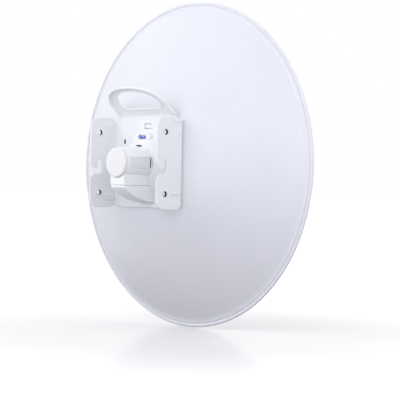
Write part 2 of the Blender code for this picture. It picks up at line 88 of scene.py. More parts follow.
# a mesh from points and arrays of faces with like numbers of corners
def addPiece(name, points, faces, material, replaced=()):
    faces = [f for f in faces if len(f)]
    corners = np.concatenate([f.ravel() for f in faces])
    counts = np.concatenate([np.full(len(f), f.shape[1]) for f in faces])
    starts = np.concatenate([[0], np.cumsum(counts)[:-1]])
    mesh = bpy.data.meshes.new(name)
    mesh.vertices.add(len(points))
    mesh.vertices.foreach_set("co", np.asarray(points, np.float32).ravel())
    mesh.loops.add(len(corners))
    mesh.loops.foreach_set("vertex_index", corners.astype(np.int32))
    mesh.polygons.add(len(counts))
    mesh.polygons.foreach_set("loop_start", starts.astype(np.int32))
    mesh.update(calc_edges=True)
    mesh.validate()
    mesh.shade_smooth()
    mesh.set_sharp_from_angle(angle=sharpEdge)
    mesh.materials.append(material)
    piece = bpy.data.objects.new(name, mesh)
    bpy.context.scene.collection.objects.link(piece)
    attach(piece, "root")
    if replaced:
        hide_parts(*replaced)
    return piece


# faces whose middle meets a test on (x, back, z) are painted near black: painted shade in slots and gaps, and
# the dark bores of the nuts
def shadeFaces(piece, chosen):
    mesh = piece.data
    middles = np.empty(len(mesh.polygons) * 3)
    mesh.polygons.foreach_get("center", middles)
    x, y, z = middles.reshape(-1, 3).T / mm
    dark = np.where(chosen(x - axisX, rimY - y, z), 1, 0)
    mesh.materials.append(paint["paintedShadeAndDarkBore"])
    mesh.polygons.foreach_set("material_index", dark.astype(np.int32))
    mesh.update()


def fullTurn(steps):
    return np.linspace(0, 2 * np.pi, steps, endpoint=False)


# A profile of (radius, back) pairs carried round the dish's axis through all angles, from the rear over the
# outer side to the front. A radius of 0 at an end closes there in a fan; otherwise the profile is a loop.
# shape changes the radius by its place, and lay puts the points in the frame.
def turnedMesh(profile, angle, shape=None, lay=toFrame):
    profile = np.array(profile, float)
    first, last = profile[0, 0] == 0, profile[-1, 0] == 0
    rings = profile[int(first):len(profile) - int(last)]
    count = len(angle)
    radius, back = rings[:, :1] + 0 * angle, rings[:, 1:] + 0 * angle
    if shape:
        radius = shape(radius, back, angle)
    points = [lay(radius * np.cos(angle), back, radius * np.sin(angle)).reshape(-1, 3)]
    faces = [gridFaces(len(rings), count, closeRows=not (first or last), closeCols=True)]
    j = np.arange(count)
    jNext = (j + 1) % count
    total = len(rings) * count
    if first:
        points.append(lay([0.0], profile[0, 1], 0.0))
        faces.append(np.stack([np.full(count, total), j, jNext], axis=1))
        total += 1
    if last:
        points.append(lay([0.0], profile[-1, 1], 0.0))
        end = (len(rings) - 1) * count
        faces.append(np.stack([end + j, np.full(count, total), end + jNext], axis=1))
    return np.concatenate(points), faces


straightCorner = 1.55    # half the angle from which a corner counts as straight


# an outline of corners (x, y, radius), each turned into an arc of its radius
def roundedOutline(corners, steps=8):
    corners = np.array(corners, float)
    places, radii = corners[:, :2], corners[:, 2]
    result = []
    for before, corner, after, radius in zip(np.roll(places, 1, 0), places, np.roll(places, -1, 0), radii):
        a = (before - corner) / np.linalg.norm(before - corner)
        b = (after - corner) / np.linalg.norm(after - corner)
        half = math.acos(np.clip(a @ b, -1, 1)) / 2
        if radius == 0 or half > straightCorner:
            result.append(corner[None])
            continue
        centre = corner + (a + b) / np.linalg.norm(a + b) * radius / math.sin(half)
        start = corner + a * radius / math.tan(half) - centre
        stop = corner + b * radius / math.tan(half) - centre
        first = math.atan2(start[1], start[0])
        turn = (math.atan2(stop[1], stop[0]) - first + math.pi) % (2 * math.pi) - math.pi
        angle = first + turn * np.linspace(0, 1, steps + 1)
        result.append(centre + radius * np.stack([np.cos(angle), np.sin(angle)], axis=1))
    return np.concatenate(result)


# a squared ellipse from its right end over the top to its left end
def archOutline(halfWidth, base, top, power=2.3, steps=48):
    angle = np.linspace(0, np.pi, steps + 1)
    c, s = np.cos(angle), np.sin(angle)
    x = halfWidth * np.sign(c) * np.abs(c) ** (2 / power)
    return np.stack([x, base + (top - base) * np.abs(s) ** (2 / power)], axis=1)


# distance to a rectangle with round corners, negative inside
def boxDistance(u, v, centre, half, radius=0.0):
    du = np.abs(u - centre[0]) - (half[0] - radius)
    dv = np.abs(v - centre[1]) - (half[1] - radius)
    return np.hypot(np.maximum(du, 0), np.maximum(dv, 0)) + np.minimum(np.maximum(du, dv), 0) - radius


# distance to a closed outline: the nearest edge, negative where a ray crosses it an odd number of times
def outlineDistance(u, v, outline):
    nearest = np.full(np.shape(u), np.inf)
    inside = np.zeros(np.shape(u), bool)
    for (ax, ay), (bx, by) in zip(outline, np.roll(outline, -1, 0)):
        ex, ey = bx - ax, by - ay
        length = ex * ex + ey * ey
        if length == 0:
            continue
        t = np.clip(((u - ax) * ex + (v - ay) * ey) / length, 0, 1)
        nearest = np.minimum(nearest, (u - ax - t * ex) ** 2 + (v - ay - t * ey) ** 2)
        if ey != 0:
            crosses = (ay > v) != (by > v)
            inside ^= crosses & (u < ax + (v - ay) * ex / ey)
    return np.where(inside, -1, 1) * np.sqrt(nearest)


# twice the slope of a distance in u and in v, over a small step to each side
def slopes(distance, u, v):
    return distance(u + probe, v) - distance(u - probe, v), distance(u, v + probe) - distance(u, v - probe)


cutting = {
    "snap": 0.25,         # share of a cell within which a grid point is moved onto the outline
    "moves": 2,           # how often it is moved
    "leastSlope": 0.2,    # keeps a move short where the distance is flat
    "halvings": 14,       # steps that find where the outline crosses a grid line
}


# The part of a grid where a distance is below zero, as polygons. Grid points close to the outline are
# moved onto it, and the other crossings of grid lines become new points.
def cutOutline(distance, uLines, vLines):
    u, v = np.meshgrid(uLines, vLines, indexing="ij")
    d = distance(u, v)
    cell = np.minimum(np.gradient(uLines)[:, None], np.gradient(vLines)[None])
    near = np.abs(d) < cutting["snap"] * cell
    for _ in range(cutting["moves"]):
        gu, gv = (g / (2 * probe) for g in slopes(distance, u, v))
        size = np.maximum(gu * gu + gv * gv, cutting["leastSlope"])
        here = distance(u, v)
        u = np.where(near, u - here * gu / size, u)
        v = np.where(near, v - here * gv / size, v)
    inside = (d < 0) | near
    deep = (d < 0) & ~near
    points = [np.stack([u[inside], v[inside]], axis=1)]
    corner = np.full(u.shape, -1)
    corner[inside] = np.arange(inside.sum())
    total = int(inside.sum())

    # crossings between a deep point and an outside one along u or v, found by halving
    def crossings(alongU):
        nonlocal total
        here = (slice(None, -1), slice(None)) if alongU else (slice(None), slice(None, -1))
        then = (slice(1, None), slice(None)) if alongU else (slice(None), slice(1, None))
        cut = (deep[here] & ~inside[then]) | (deep[then] & ~inside[here])
        startU, startV = u[here][cut], v[here][cut]
        goU, goV = u[then][cut] - startU, v[then][cut] - startV
        startsIn = deep[here][cut]
        low, high = np.zeros(cut.sum()), np.ones(cut.sum())
        for _ in range(cutting["halvings"]):
            middle = (low + high) / 2
            isIn = distance(startU + goU * middle, startV + goV * middle) < 0
            forward = isIn == startsIn
            low, high = np.where(forward, middle, low), np.where(forward, high, middle)
        share = (low + high) / 2
        points.append(np.stack([startU + goU * share, startV + goV * share], axis=1))
        index = np.full(cut.shape, -1)
        index[cut] = total + np.arange(cut.sum())
        total += int(cut.sum())
        return index

    onU = crossings(True)
    onV = crossings(False)
    around = np.stack([corner[:-1, :-1], onU[:, :-1], corner[1:, :-1], onV[1:, :],
                       corner[1:, 1:], onU[:, 1:], corner[:-1, 1:], onV[:-1, :]], axis=-1).reshape(-1, 8)
    count = (around >= 0).sum(axis=1)
    faces = []
    for sides in range(3, 9):
        rows = around[count == sides]
        if len(rows):
            faces.append(rows[rows >= 0].reshape(-1, sides))
    points = np.concatenate(points)
    used = np.zeros(len(points), bool)
    for f in faces:
        used[f.ravel()] = True
    renumber = np.cumsum(used) - 1
    return points[used], [renumber[f] for f in faces]


# A sheet or block: the grid cut to its outline, laid on a surface and given a wall on each side of it.
# Its edges are quarter rounds of the radius edge. surface(u, v) gives points in the frame.
def sheetMesh(distance, surface, uLines, vLines, half, edge, arcSteps=3):
    def inset(u, v):
        return distance(u, v) + edge

    def normals(u, v):
        n = np.cross(*slopes(surface, u, v))
        return n / np.linalg.norm(n, axis=1)[:, None]

    flat, faces = cutOutline(inset, uLines, vLines)
    u, v = flat.T
    pairs = np.concatenate([np.stack([f, np.roll(f, -1, 1)], axis=-1).reshape(-1, 2) for f in faces])
    key = pairs[:, 0].astype(np.int64) * len(flat) + pairs[:, 1]
    reverse = pairs[:, 1].astype(np.int64) * len(flat) + pairs[:, 0]
    rim = pairs[~np.isin(key, reverse)]
    rimPoints = np.unique(rim)
    order = np.full(len(flat), -1)
    order[rimPoints] = np.arange(len(rimPoints))
    rimU, rimV = u[rimPoints], v[rimPoints]
    gu, gv = slopes(distance, rimU, rimV)
    size = np.maximum(np.hypot(gu, gv), 1e-9)
    gu, gv = gu / size, gv / size

    n = normals(u, v)
    middle = surface(u, v)
    points = [middle + n * half * mm, middle - n * half * mm]
    for sign in (1, -1):
        steps = range(1, arcSteps + 1) if sign > 0 else range(arcSteps, 0, -1)
        for k in steps:
            turn = quarterTurn * k / arcSteps
            outU, outV = rimU + gu * edge * math.sin(turn), rimV + gv * edge * math.sin(turn)
            height = sign * (half - edge * (1 - math.cos(turn)))
            points.append(surface(outU, outV) + normals(outU, outV) * height * mm)
    result = list(faces) + [f[:, ::-1] + len(flat) for f in faces]
    walls = [2 * len(flat) + k * len(rimPoints) + np.arange(len(rimPoints)) for k in range(2 * arcSteps)]
    rings = [rimPoints] + walls + [len(flat) + rimPoints]
    a, b = order[rim[:, 0]], order[rim[:, 1]]
    for upper, lower in zip(rings[:-1], rings[1:]):
        result.append(np.stack([upper[b], upper[a], lower[a], lower[b]], axis=1))
    return np.concatenate(points), result


# evenly spaced lines between stops, each a place and the step from there on
def lines(*stops):
    parts = []
    for (low, step), (high, _) in zip(stops[:-1], stops[1:]):
        parts.append(np.linspace(low, high, max(2, round((high - low) / step) + 1))[:-1])
    return np.concatenate(parts + [[stops[-1][0]]])


# Finishes

def newGroup(name, inputs, outputs):
    group = bpy.data.node_groups.new(name, "ShaderNodeTree")
    for label, kind, value in inputs:
        socket = group.interface.new_socket(label, in_out="INPUT", socket_type="NodeSocket" + kind)
        if value is not None:
            socket.default_value = value
    for label, kind in outputs:
        group.interface.new_socket(label, in_out="OUTPUT", socket_type="NodeSocket" + kind)
    return group, group.nodes.new("NodeGroupInput"), group.nodes.new("NodeGroupOutput")


def setSockets(node, values):
    for key, value in values.items():
        node.inputs[key].default_value = value


# a shader node with its settings, and values for its sockets
def addNode(tree, kind, values={}, **settings):
    node = tree.nodes.new("ShaderNode" + kind)
    for key, value in settings.items():
        setattr(node, key, value)
    setSockets(node, values)
    return node


# links given as (node, its output, next node, its input)
def wire(tree, *links):
    for source, output, target, entry in links:
        tree.links.new(source.outputs[output], target.inputs[entry])


grain = {"fineDetail": 3.0, "broadDetail": 1.0, "broadSize": 0.23}    # broadSize is a share of the fine scale


# fine grain: two noises of different size on object coordinates, mixed into one height
def makeGrainGroup():
    group, start, end = newGroup("fineGrain",
                                 [("Vector", "Vector", None), ("Size", "Float", 900.0),
                                  ("Broad", "Float", 0.4)],
                                 [("Height", "Float")])
    fine = addNode(group, "TexNoise", {"Detail": grain["fineDetail"]})
    broad = addNode(group, "TexNoise", {"Detail": grain["broadDetail"]})
    smaller = addNode(group, "Math", {1: grain["broadSize"]}, operation="MULTIPLY")
    mix = addNode(group, "Mix")
    wire(group, (start, "Vector", fine, "Vector"), (start, "Vector", broad, "Vector"),
                (start, "Size", fine, "Scale"), (start, "Size", smaller, 0), (smaller, 0, broad, "Scale"),
                (start, "Broad", mix, "Factor"), (fine, "Fac", mix, "A"), (broad, "Fac", mix, "B"),
                (mix, "Result", end, "Height"))
    return group


tone = {"detail": 5.0, "roughness": 0.6, "low": 0.35, "high": 0.68}    # low and high become 0 and 1


# faint unevenness: a broad noise that shades a colour between two tones and gives a mask
def makeToneGroup():
    group, start, end = newGroup("faintTone",
                                 [("Vector", "Vector", None), ("Size", "Float", 14.0),
                                  ("Light", "Color", (1, 1, 1, 1)),
                                  ("Dark", "Color", (0.9, 0.9, 0.9, 1))],
                                 [("Color", "Color"), ("Mask", "Float")])
    cloud = addNode(group, "TexNoise", {"Detail": tone["detail"], "Roughness": tone["roughness"]})
    spread = addNode(group, "MapRange", {"From Min": tone["low"], "From Max": tone["high"]})
    mix = addNode(group, "Mix", data_type="RGBA")
    wire(group, (start, "Vector", cloud, "Vector"), (start, "Size", cloud, "Scale"),
                (cloud, "Fac", spread, "Value"), (spread, "Result", mix, "Factor"),
                (start, "Light", mix, "A"), (start, "Dark", mix, "B"), (mix, "Result", end, "Color"),
                (spread, "Result", end, "Mask"))
    return group


grainGroup = makeGrainGroup()
toneGroup = makeToneGroup()
bumpDistance = 0.00006    # height of the grain in metres
matt = 0.9                # spreads the light on every finish, as a matt paint does


# a finish: the tone group gives colour and roughness, the grain group gives a small bump
def makeFinish(name, look):
    material = bpy.data.materials.new(name)
    material.use_nodes = True
    tree = material.node_tree
    shader = tree.nodes["Principled BSDF"]
    place = addNode(tree, "TexCoord")
    shade = addNode(tree, "Group", {"Size": look["toneSize"], "Light": (*look["light"], 1),
                                    "Dark": (*look["dark"], 1)}, node_tree=toneGroup)
    relief = addNode(tree, "Group", {"Size": look["grainSize"], "Broad": look["grainBroad"]},
                     node_tree=grainGroup)
    rough = addNode(tree, "MapRange", {"To Min": look["rough"][0], "To Max": look["rough"][1]})
    bump = addNode(tree, "Bump", {"Strength": look["bump"], "Distance": bumpDistance})
    wire(tree, (place, "Object", shade, "Vector"), (place, "Object", relief, "Vector"),
               (shade, "Color", shader, "Base Color"), (shade, "Mask", rough, "Value"),
               (rough, "Result", shader, "Roughness"), (relief, "Height", bump, "Height"),
               (bump, "Normal", shader, "Normal"))
    setSockets(shader, {"Metallic": look.get("metallic", 0.0), "Coat Weight": look.get("coat", 0.0),
                        "Coat Roughness": look.get("coatRough", 0.2), "Diffuse Roughness": matt})
    return material


finishes = {
    "powderCoat": {"light": (0.775, 0.780, 0.835), "dark": (0.755, 0.760, 0.815), "toneSize": 11,
                   "rough": (0.34, 0.42), "grainSize": 1500, "grainBroad": 0.55, "bump": 0.35},
    "sheetPaint": {"light": (0.846, 0.850, 0.880), "dark": (0.826, 0.830, 0.860), "toneSize": 16,
                   "rough": (0.36, 0.44), "grainSize": 1700, "grainBroad": 0.5, "bump": 0.35},
    "housingPlastic": {"light": (0.875, 0.880, 0.905), "dark": (0.855, 0.860, 0.885), "toneSize": 30,
                       "rough": (0.38, 0.46), "grainSize": 2600, "grainBroad": 0.2, "bump": 0.25},
    "coverPlastic": {"light": (0.815, 0.815, 0.835), "dark": (0.795, 0.795, 0.815), "toneSize": 30,
                     "rough": (0.32, 0.40), "grainSize": 2400, "grainBroad": 0.2, "bump": 0.2},
    "feedPlastic": {"light": (0.85, 0.855, 0.875), "dark": (0.83, 0.835, 0.855), "toneSize": 26,
                    "rough": (0.34, 0.42), "grainSize": 2200, "grainBroad": 0.25, "bump": 0.2},
    "bareMetal": {"light": (0.78, 0.79, 0.81), "dark": (0.70, 0.71, 0.73), "toneSize": 40,
                  "rough": (0.24, 0.36), "grainSize": 1800, "grainBroad": 0.3, "bump": 0.3, "metallic": 1.0},
    "vialLiquid": {"light": (0.02, 0.09, 0.62), "dark": (0.015, 0.06, 0.50), "toneSize": 120,
                   "rough": (0.08, 0.14), "grainSize": 900, "grainBroad": 0.6, "bump": 0.05,
                   "coat": 1.0, "coatRough": 0.05},
    # near black: painted shade for slots and gaps, and the dark bores of the nuts
    "paintedShadeAndDarkBore": {"light": (0.012, 0.012, 0.014), "dark": (0.008, 0.008, 0.010), "toneSize": 60,
                   "rough": (0.5, 0.7), "grainSize": 1500, "grainBroad": 0.5, "bump": 0.3},
    "bubble": {"light": (0.55, 0.66, 0.95), "dark": (0.45, 0.58, 0.90), "toneSize": 150,
               "rough": (0.05, 0.10), "grainSize": 900, "grainBroad": 0.6, "bump": 0.02,
               "coat": 1.0, "coatRough": 0.03},
}
paint = {name: makeFinish(name, look) for name, look in finishes.items()}
print("stage 2: finishes made")


# Reflector: bowl, hub boss, flat lip and rolled bead

# small openings in the bracket's plate as centre, half size and corner radius; "upright" is on both sides
plateSlots = {
    "level": ((0, 33.1), (12.5, 3.3), 3.2), "upright": ((44.5, 27.2), (1.3, 3.1), 1.2),
    "lens": ((-6.3, 21.8), (4.6, 0.85), 0.8),
    "lockSlit": ((-1.2, 46.6), (6.9, 3.6), 1.0), "lockTongue": ((1.6, 46.6), (8.0, 2.3), 0.8),
}
dish = {
    "steps": 336, "sheet": 1.2, "hubHole": 20.9, "depth": 79.0, "fall": 527.0, "bossBack": 75.2,
    "bossSoft": 0.8, "square": 62.0, "round": 132.0, "crease": 900.0,
    "lift": 2.4, "liftFrom": 50.0, "liftTo": 155.0,
    "lipBack": 1.9, "lipSoft": 2.6, "lipEnd": 204.3, "groove": [(204.9, 0.8), (205.6, 0.4)],
    "beadCentre": 208.0, "beadRadius": 2.0, "beadTurn": (168, -120), "beadSteps": 22,
    "hubStep": 3.0, "spacing": [(46, 1.5), (128, 4.0), (188, 0.8)],    # radius and the step from there on
    "probe": 0.05, "slotShade": (3.2, 5.0), "shadeDepth": 0.4,
}


# The height falls by the square of a reach over "fall", down to the flat lip, and is cut flat at the boss.
# The reach is the larger of x and z up to the radius "square", which gives the boss its four flat slopes
# and soft creases on the diagonals, and turns into the plain radius at "round". A slight lift widens the
# boss.
def dishBack(x, z):
    radius2 = x * x + z * z
    square = 1 - easeIn((np.sqrt(radius2) - dish["square"]) / (dish["round"] - dish["square"]))
    reach2 = radius2 - square * (radius2 - softMax(x * x, z * z, dish["crease"]))
    outwards = (np.sqrt(reach2) - dish["liftFrom"]) / (dish["liftTo"] - dish["liftFrom"])
    bowl = dish["depth"] + dish["lift"] * (1 - easeIn(outwards)) - reach2 / dish["fall"]
    bowl = softMax(bowl, np.full_like(bowl, dish["lipBack"]), dish["lipSoft"])
    return softMin(bowl, np.full_like(bowl, dish["bossBack"]), dish["bossSoft"])


# the rear sheet out to its lip, the rolled bead, and the front sheet back in, as one closed section
def makeDish():
    angle = fullTurn(dish["steps"])
    radii = lines((dish["hubHole"], dish["hubStep"]), *dish["spacing"], (dish["lipEnd"], 1))
    x, z = radii[:, None] * np.cos(angle), radii[:, None] * np.sin(angle)
    rear = np.stack([x, dishBack(x, z), z], axis=-1)
    e = dish["probe"]
    slopeX = (dishBack(x + e, z) - dishBack(x - e, z)) / (2 * e)
    slopeZ = (dishBack(x, z + e) - dishBack(x, z - e)) / (2 * e)
    normal = np.stack([-slopeX, np.ones_like(slopeX), -slopeZ], axis=-1)
    normal /= np.linalg.norm(normal, axis=-1, keepdims=True)
    front = (rear - dish["sheet"] * normal)[::-1]
    turn = np.radians(np.linspace(*dish["beadTurn"], dish["beadSteps"]))
    roll = np.stack([dish["beadCentre"] + dish["beadRadius"] * np.cos(turn),
                     dish["beadRadius"] * np.sin(turn)], axis=1)
    bead = np.concatenate([dish["groove"], roll])
    out, back = bead[:, :1], bead[:, 1:]
    ring = np.stack([out * np.cos(angle), back + 0 * angle, out * np.sin(angle)], axis=-1)
    section = np.concatenate([rear, ring, front])
    points = toFrame(section[..., 0], section[..., 1], section[..., 2]).reshape(-1, 3)
    faces = [gridFaces(len(section), dish["steps"], closeRows=True, closeCols=True)]
    bowl = addPiece("reflectorBowl", points, faces, paint["powderCoat"], ["reflector_dish"])

    # the boss is painted near black where it shows through the plate's upright slots: painted shade standing
    # in for a deep opening
    def behindSlot(x, back, z):
        onBoss = back > dish["bossBack"] - dish["shadeDepth"]
        return within(np.abs(x), z, plateSlots["upright"][0], dish["slotShade"]) & onBoss

    shadeFaces(bowl, behindSlot)


makeDish()
print("stage 3: reflector made")


# Bracket: one folded sheet with its dome, darts, slots and carry handle

bracket = {
    "half": 1.0, "edge": 0.35, "midBack": 76.5, "flatHalf": 57.4, "bendRadius": 4.4,
    "flangeHalf": 57.2, "cornerRadius": 13.0, "plateHalf": 50.0, "plateBottom": -56.0,
    "reliefTop": 54.0, "reliefOuter": 66.0, "reliefDeep": 5.0, "reliefCorner": 1.6, "bottomCorner": 0.5,
    "sideCut": 3.0, "neckCut": (1.0, 1.8),
    "domeFoot": 42.2, "domeSlope": 0.635, "domeRise": 10.5, "domeSoft": 1.4,
    "hubHole": 20.25, "boltBack": 106.3, "boltHeight": 38.1, "boltRadius": 3.7, "edgeBack": 120.5,
    "dartHeight": (46.4, -43.6), "dartHalf": 5.0, "dartRise": 1.2, "dartSpan": (52.5, 20.5), "dartSoft": 1.3,
    "dartDip": 0.75, "across": [(0, 1.0), (50, 0.8), (57, 0.5), (65, 0.9), (72, 1.15)],
    "up": [(-58.2, 1.0), (54, 0.7)], "uprightShade": (1.5, 3.3), "uprightFront": 77.3,
    "lensShade": (4.8, 1.0), "lensDepth": (80, 87.8),
}
# the handle leans back from the plate; heights are along the sheet from the end of its bend
handle = {
    "start": 58.0, "leanRadius": 6.0, "lean": math.radians(48), "footHalf": 50.0, "footLow": 50.0,
    "half": 51.5, "shoulder": 6.0, "spring": 14.0, "top": 50.0, "step": (2.0, 0.75), "end": 51.0,
    "opening": [(-37.5, 17.5, 0), (-32, 10.3, 5), (32, 10.3, 5), (37.5, 17.5, 0)],
    "openingHalf": 37.5, "openingSpring": 18.5, "openingTop": 40.5, "openingRise": 1.5, "openingWidth": 2.6,
    "lipRise": 4.6, "lipWidth": 3.6, "lipPower": 2.4, "lipFrom": -0.5, "lipLength": 3.0, "join": 1.0,
}
# the hook slot as (back, height, corner radius), open at the flange's rear edge
hook = [(123.7, 3.5, 0), (114.4, -6.6, 1.2), (108.9, -6.6, 0.5), (108.9, 4.6, 3.3), (102.2, 4.6, 3.3),
        (102.2, -14.1, 5), (114.4, -14.1, 1.2), (123.7, -22.7, 0)]

# how far along the flat pattern a point of the flange lies, from its distance behind the rim
flangeShift = bracket["flatHalf"] + bracket["bendRadius"] * (quarterTurn - 1) - bracket["midBack"]
reach = bracket["edgeBack"] + flangeShift
leanLength = handle["leanRadius"] * handle["lean"]
handleBase = handle["start"] + leanLength
handleOutline = np.concatenate([
    [(-handle["footHalf"], handle["footLow"]), (handle["footHalf"], handle["footLow"]),
     (handle["footHalf"], handleBase), (handle["half"], handleBase + handle["shoulder"])],
    archOutline(handle["half"], handleBase + handle["spring"], handleBase + handle["top"]),
    [(-handle["half"], handleBase + handle["shoulder"]), (-handle["footHalf"], handleBase)]])
openingOutline = np.concatenate([
    roundedOutline(handle["opening"]),
    archOutline(handle["openingHalf"], handle["openingSpring"], handle["openingTop"])]) + (0, handleBase)
hookOutline = roundedOutline(hook) + (flangeShift, 0)


# the flat pattern: plate, flanges and handle in one, less reliefs, holes and slits
def bracketDistance(u, v):
    b = bracket
    a = np.abs(u)
    deep = b["reliefDeep"]
    side = b["plateHalf"] + b["sideCut"]
    body = boxDistance(u, v, (0, 0), (reach, b["flangeHalf"]), b["cornerRadius"])
    reliefMiddle = ((b["plateHalf"] + b["reliefOuter"]) / 2, b["reliefTop"] + deep)
    reliefHalf = ((b["reliefOuter"] - b["plateHalf"]) / 2, deep)
    neckShift, neckHalf = b["neckCut"]
    cuts = [boxDistance(a, np.abs(v), reliefMiddle, reliefHalf, b["reliefCorner"]),
            boxDistance(u, v, (0, b["plateBottom"] - deep), (side, deep), b["bottomCorner"]),
            boxDistance(u, v, (0, b["flangeHalf"] + neckShift), (side, neckHalf))]
    for cut in cuts:
        body = np.maximum(body, -cut)
    body = softMin(body, outlineDistance(u, v, handleOutline), handle["join"])
    lockTongue = boxDistance(u, v, *plateSlots["lockTongue"])
    holes = [outlineDistance(u, v, openingOutline),
             np.hypot(u, v) - b["hubHole"],
             np.hypot(a - b["boltBack"] - flangeShift, np.abs(v) - b["boltHeight"]) - b["boltRadius"],
             outlineDistance(a, v, hookOutline),
             boxDistance(u, v, *plateSlots["level"]),
             boxDistance(a, v, *plateSlots["upright"]),
             boxDistance(u, v, *plateSlots["lens"]),
             np.maximum(boxDistance(u, v, *plateSlots["lockSlit"]), -lockTongue)]
    for hole in holes:
        body = np.maximum(body, -hole)
    return body


# Pressed forms, towards the rear or the inside: the dome round the housing is a soft cone cut flat. A dart
# across each bend is a flat bump with round ends, lower on the bend. The handle's edge rises by a power of
# the nearness to its outline.
def bracketLift(u, v):
    b = bracket
    a = np.abs(u)
    ramp = (b["domeFoot"] - np.hypot(u, v)) * b["domeSlope"]
    lift = softMax(ramp, np.zeros_like(ramp), b["domeSoft"])
    lift = softMin(lift, np.full_like(ramp, b["domeRise"]), b["domeSoft"])
    bend = np.clip((a - b["flatHalf"]) / b["bendRadius"], 0, quarterTurn)
    inner, outer = b["dartSpan"][0], b["flatHalf"] + b["bendRadius"] * quarterTurn / 2 + b["dartSpan"][1]
    for height in b["dartHeight"]:
        out = boxDistance(a, v, ((inner + outer) / 2, height), ((outer - inner) / 2, b["dartHalf"]),
                          b["dartHalf"] - 0.1)
        rise = b["dartRise"] * (1 - b["dartDip"] * np.sin(2 * bend))
        lift = lift + rise * easeIn(-out / b["dartSoft"])
    nearEdge = np.clip(1 + outlineDistance(u, v, handleOutline) / handle["lipWidth"], 0, 1)
    fadeIn = easeIn((v - handleBase - handle["lipFrom"]) / handle["lipLength"])
    lip = handle["lipRise"] * nearEdge ** handle["lipPower"] * fadeIn
    nearOpening = np.clip(1 - outlineDistance(u, v, openingOutline) / handle["openingWidth"], 0, 1)
    return lift + np.where(v > handle["start"], lip + handle["openingRise"] * nearOpening ** 2, 0)


# the flat pattern folded: an arc and a straight flange at each side, an arc and the handle at the neck
def foldBracket(u, v):
    b = bracket
    side, a = np.sign(u), np.abs(u)
    radius, lean = handle["leanRadius"], handle["lean"]
    turn = np.clip(a - b["flatHalf"], 0, b["bendRadius"] * quarterTurn) / b["bendRadius"]
    tilt = np.clip(v - handle["start"], 0, leanLength) / radius
    rest = np.maximum(v - handleBase, 0)
    lift = bracketLift(u, v)
    x = np.minimum(a, b["flatHalf"]) + b["bendRadius"] * np.sin(turn) - lift * np.sin(turn)
    back = b["midBack"] + b["bendRadius"] * (1 - np.cos(turn))
    back = back + np.maximum(a - b["flatHalf"] - b["bendRadius"] * quarterTurn, 0)
    back = back + radius * (1 - np.cos(tilt)) + rest * math.sin(lean)
    back = back + lift * np.cos(turn) * np.cos(tilt)
    z = np.minimum(v, handle["start"]) + radius * np.sin(tilt) + rest * math.cos(lean)
    return toFrame(side * x, back, z - lift * np.sin(tilt))


def makeBracket():
    right = lines(*bracket["across"], (reach + 1, 1))
    across = np.concatenate([-right[:0:-1], right])
    handleFrom, handleStep = handle["step"]
    up = lines(*bracket["up"], (handleBase + handleFrom, handleStep), (handleBase + handle["end"], 1))
    points, faces = sheetMesh(bracketDistance, foldBracket, across, up, bracket["half"], bracket["edge"])
    sheet = addPiece("foldedBracket", points, faces, paint["sheetPaint"],
                     ["bracket_base", "bracket_flange_left", "bracket_flange_right", "carry_handle"])

    # the walls of the upright slots and of the lens-shaped slot are painted near black, as painted shade
    def inSlot(x, back, z):
        upright = within(np.abs(x), z, plateSlots["upright"][0], bracket["uprightShade"])
        lens = within(x, z, plateSlots["lens"][0], bracket["lensShade"])
        nearest, deepest = bracket["lensDepth"]
        return (upright & (back < bracket["uprightFront"])) | (lens & (back > nearest) & (back < deepest))

    shadeFaces(sheet, inSlot)


# press nuts in the four bolt holes: a collar on the inside of the sheet and a threaded bore through it
nut = {"collar": 5.4, "neck": 3.65, "bore": 3.2, "thread": 0.35, "ridges": 4, "depth": 3.4, "mouth": 0.25,
       "seatGap": 0.05, "runOut": 0.2, "shade": 3.6, "steps": 48}


def makeNuts():
    n = nut
    height = np.linspace(n["mouth"] + n["runOut"], n["depth"] - n["runOut"], 2 * n["ridges"] + 1)
    thread = n["bore"] + n["thread"] * (np.arange(len(height)) % 2)
    seat = 2 * bracket["half"] + n["seatGap"]
    outside = roundedOutline([(n["bore"], n["depth"], 0.15), (n["collar"], n["depth"], 0.5),
                              (n["collar"], seat, 0), (n["neck"], seat, 0), (n["neck"], n["mouth"], 0.1),
                              (n["bore"], n["mouth"], 0.1)], 4)
    profile = np.concatenate([outside, np.stack([thread, height], axis=1)])
    face = bracket["flatHalf"] + bracket["bendRadius"] + bracket["half"]
    for side in (-1, 1):
        for up in (-1, 1):
            def lay(a, along, c):
                return toFrame(side * (face - np.asarray(along)), bracket["boltBack"] + side * np.asarray(a),
                               up * bracket["boltHeight"] + np.asarray(c))

            # the bore's faces are painted near black
            def inBore(x, back, z):
                return np.hypot(back - bracket["boltBack"], z - up * bracket["boltHeight"]) < n["shade"]

            points, faces = turnedMesh(profile, fullTurn(n["steps"]), lay=lay)
            name = ("right" if side > 0 else "left") + ("Upper" if up > 0 else "Lower") + "Nut"
            shadeFaces(addPiece(name, points, faces, paint["sheetPaint"]), inBore)


makeBracket()
makeNuts()
print("stage 4: bracket made")


# Radio housing: barrel with its side arms, port body, clip-on cover, ring and cap

housing = {
    "frontBack": 73.7, "rootBack": 88.0, "endBack": 125.0, "rootRadius": 20.2, "endRadius": 19.2,
    "endCorner": 0.6, "frontCorner": 0.8, "steps": 200, "rings": (95, 119, 4),
    "armAngle": math.radians(20.4), "armFace": 18.3, "armGap": 1.3, "armFloor": 16.8,
    "armStart": 89.3, "armEnd": 124.3, "armHalf": 6.5, "armX": 17.7, "armThick": 0.6, "gapHalf": 6.0,
    "angleStep": 0.004, "backStep": 0.03, "portHalf": 12.9, "portTop": -12.0, "portBack": 129.0,
    "parting": -28.2, "gap": 0.3, "roomRadius": 19.1, "roomFront": 124.7, "roomRear": 135.0,
}


